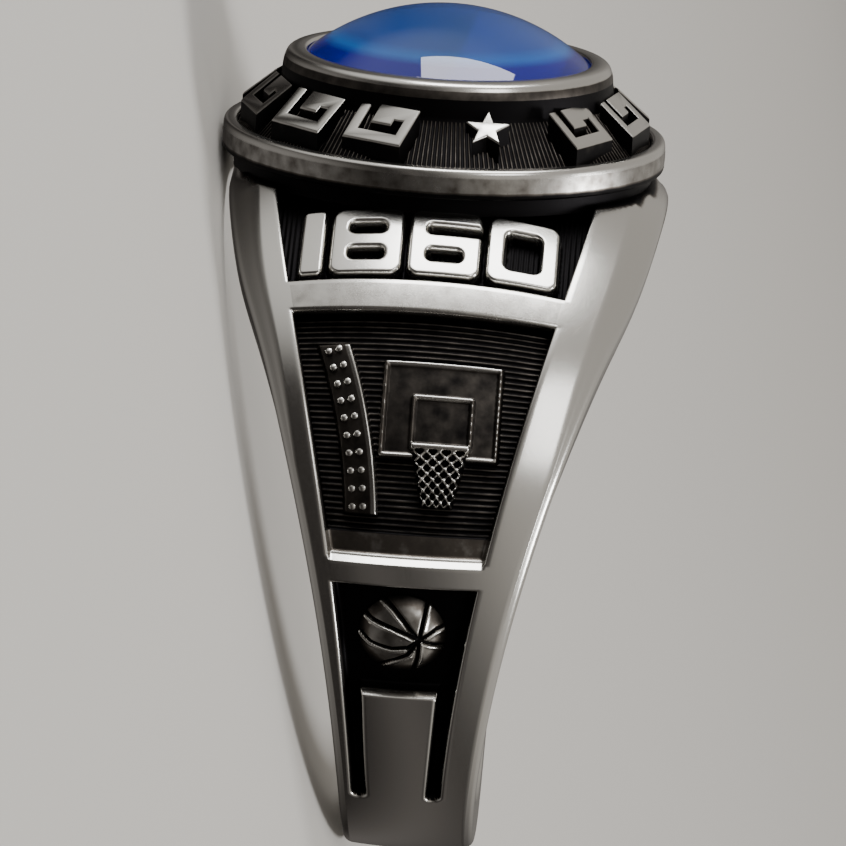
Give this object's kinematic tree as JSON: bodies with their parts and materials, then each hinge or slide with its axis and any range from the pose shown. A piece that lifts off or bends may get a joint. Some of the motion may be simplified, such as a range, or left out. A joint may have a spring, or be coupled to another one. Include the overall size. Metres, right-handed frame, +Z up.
{
  "type": "class ring",
  "caption": "Heavy cast class ring with an oval cabochon in a raised bezel, a band of star and key ornaments round the crown, and shoulders with numerals, hoop and ball in relief.",
  "frame": {"origin": "on the surface that the ring lies on, under the middle of its bounding box", "axes": "+Z up from the surface; the crown with the stone points towards -X and the palm side of the band towards +X; Y runs from shoulder to shoulder; the finger hole leans 13.2 degrees from +Z towards +X"},
  "size_m": [0.0278, 0.0244, 0.0142],
  "materials": {
    "cast_metal": "cast white metal, blackened in the recesses and polished on the high places",
    "stone": "polished deep blue synthetic spinel"
  },
  "bodies": {
    "root": {"cast_ring": "cast_metal", "stone": "stone"}
  },
  "joints": []
}
